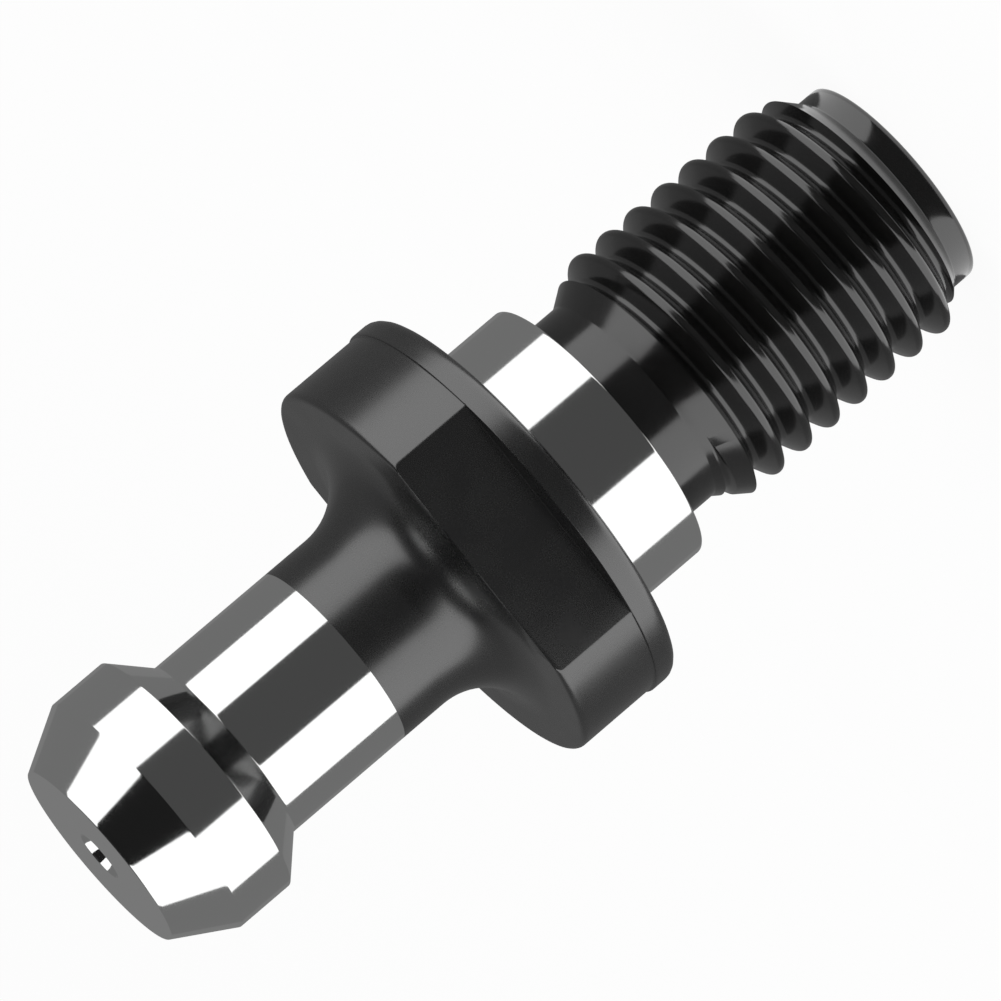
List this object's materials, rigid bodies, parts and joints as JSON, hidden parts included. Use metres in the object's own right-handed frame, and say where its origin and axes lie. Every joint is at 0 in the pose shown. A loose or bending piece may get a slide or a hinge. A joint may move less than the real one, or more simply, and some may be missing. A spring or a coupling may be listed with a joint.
{
  "type": "pull stud",
  "caption": "One-piece turned steel pull stud with a coned gripping head, a slim neck, a flanged shoulder with two wrench flats, a ground pilot and a coarse thread.",
  "frame": {"origin": "centre of the flange's seating face, where it bears on the small end of the tool holder", "axes": "+Z along the stud's axis towards the gripping head, -Z out of the threaded end, the two wrench flats facing +Y and -Y"},
  "size_m": [0.037, 0.037, 0.085],
  "materials": {
    "steel": "black oxide steel, with the head, neck and pilot ground bright"
  },
  "bodies": {
    "root": {"pull_stud": "steel"}
  },
  "joints": []
}
